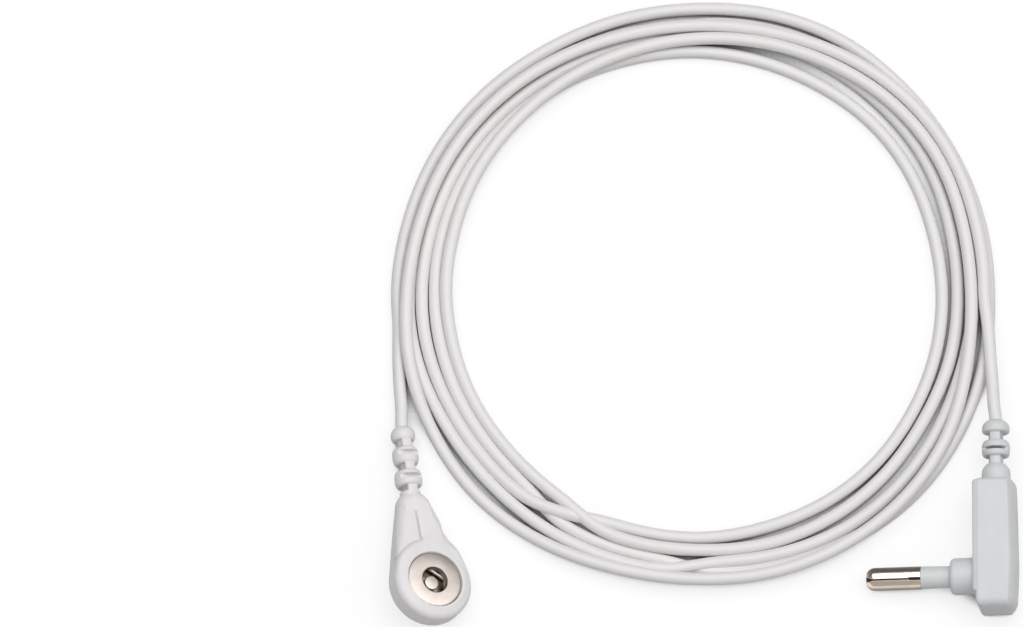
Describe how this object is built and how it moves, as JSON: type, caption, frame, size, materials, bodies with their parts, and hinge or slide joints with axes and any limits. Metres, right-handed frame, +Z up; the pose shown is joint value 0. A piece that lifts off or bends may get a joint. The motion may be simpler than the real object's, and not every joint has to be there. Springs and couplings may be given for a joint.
{
  "type": "snap-to-plug grounding cord",
  "caption": "Coiled grounding cord for an anti-static wrist strap: a snap socket on one end and a right-angle plug with a single 4 mm pin on the other.",
  "frame": {"origin": "on the table, midway between the outer limits of the two moulded ends, snap head and plug with their strain reliefs", "axes": "+X from the snap head towards the plug, +Y from the ends towards the coil, +Z up from the table"},
  "size_m": [0.1092, 0.1133, 0.0097],
  "materials": {
    "jacket": "satin",
    "snap_moulding": "soft matt",
    "plug_moulding": "soft matt",
    "inner_mould": "matt",
    "nickel": "bright nickel plate",
    "spring_steel": "drawn wire",
    "tinned": "tin plate",
    "tag_brass": "bare",
    "resistor_lacquer": "gloss lacquer",
    "copper": "bare strands"
  },
  "bodies": {
    "root": {"snap_housing": "snap_moulding", "snap_strain_relief": "snap_moulding", "snap_inner_mould": "inner_mould", "socket_ring": "nickel", "socket_cup": "nickel", "socket_rivet": "nickel", "snap_solder_tag": "tag_brass", "snap_resistor": "resistor_lacquer", "snap_resistor_caps": "tinned", "snap_resistor_leads": "tinned", "snap_crimp": "tinned", "snap_conductor": "copper", "snap_cord_clamp": "tinned", "snap_lead": "jacket", "cord_coil": "jacket", "plug_lead": "jacket", "plug_cord_clamp": "tinned", "plug_conductor": "copper", "plug_crimp": "tinned", "plug_resistor_leads": "tinned", "plug_resistor_caps": "tinned", "plug_resistor": "resistor_lacquer", "pin_solder_tag": "tag_brass", "plug_inner_mould": "inner_mould", "contact_pin": "nickel", "pin_sleeve": "plug_moulding", "plug_strain_relief": "plug_moulding", "plug_housing": "plug_moulding"},
    "left_wire": {"socket_spring_left": "spring_steel"},
    "right_wire": {"socket_spring_right": "spring_steel"}
  },
  "joints": [
    {"name": "left_wire_spread", "type": "slide", "parent": "root", "child": "left_wire", "axis": [-0.4262, -0.8507, 0.3077], "range_m": [0, 0.0003], "stiffness_N_per_m": 5000},
    {"name": "right_wire_spread", "type": "slide", "parent": "root", "child": "right_wire", "axis": [0.4262, 0.8507, -0.3077], "range_m": [0, 0.0003], "stiffness_N_per_m": 5000}
  ]
}
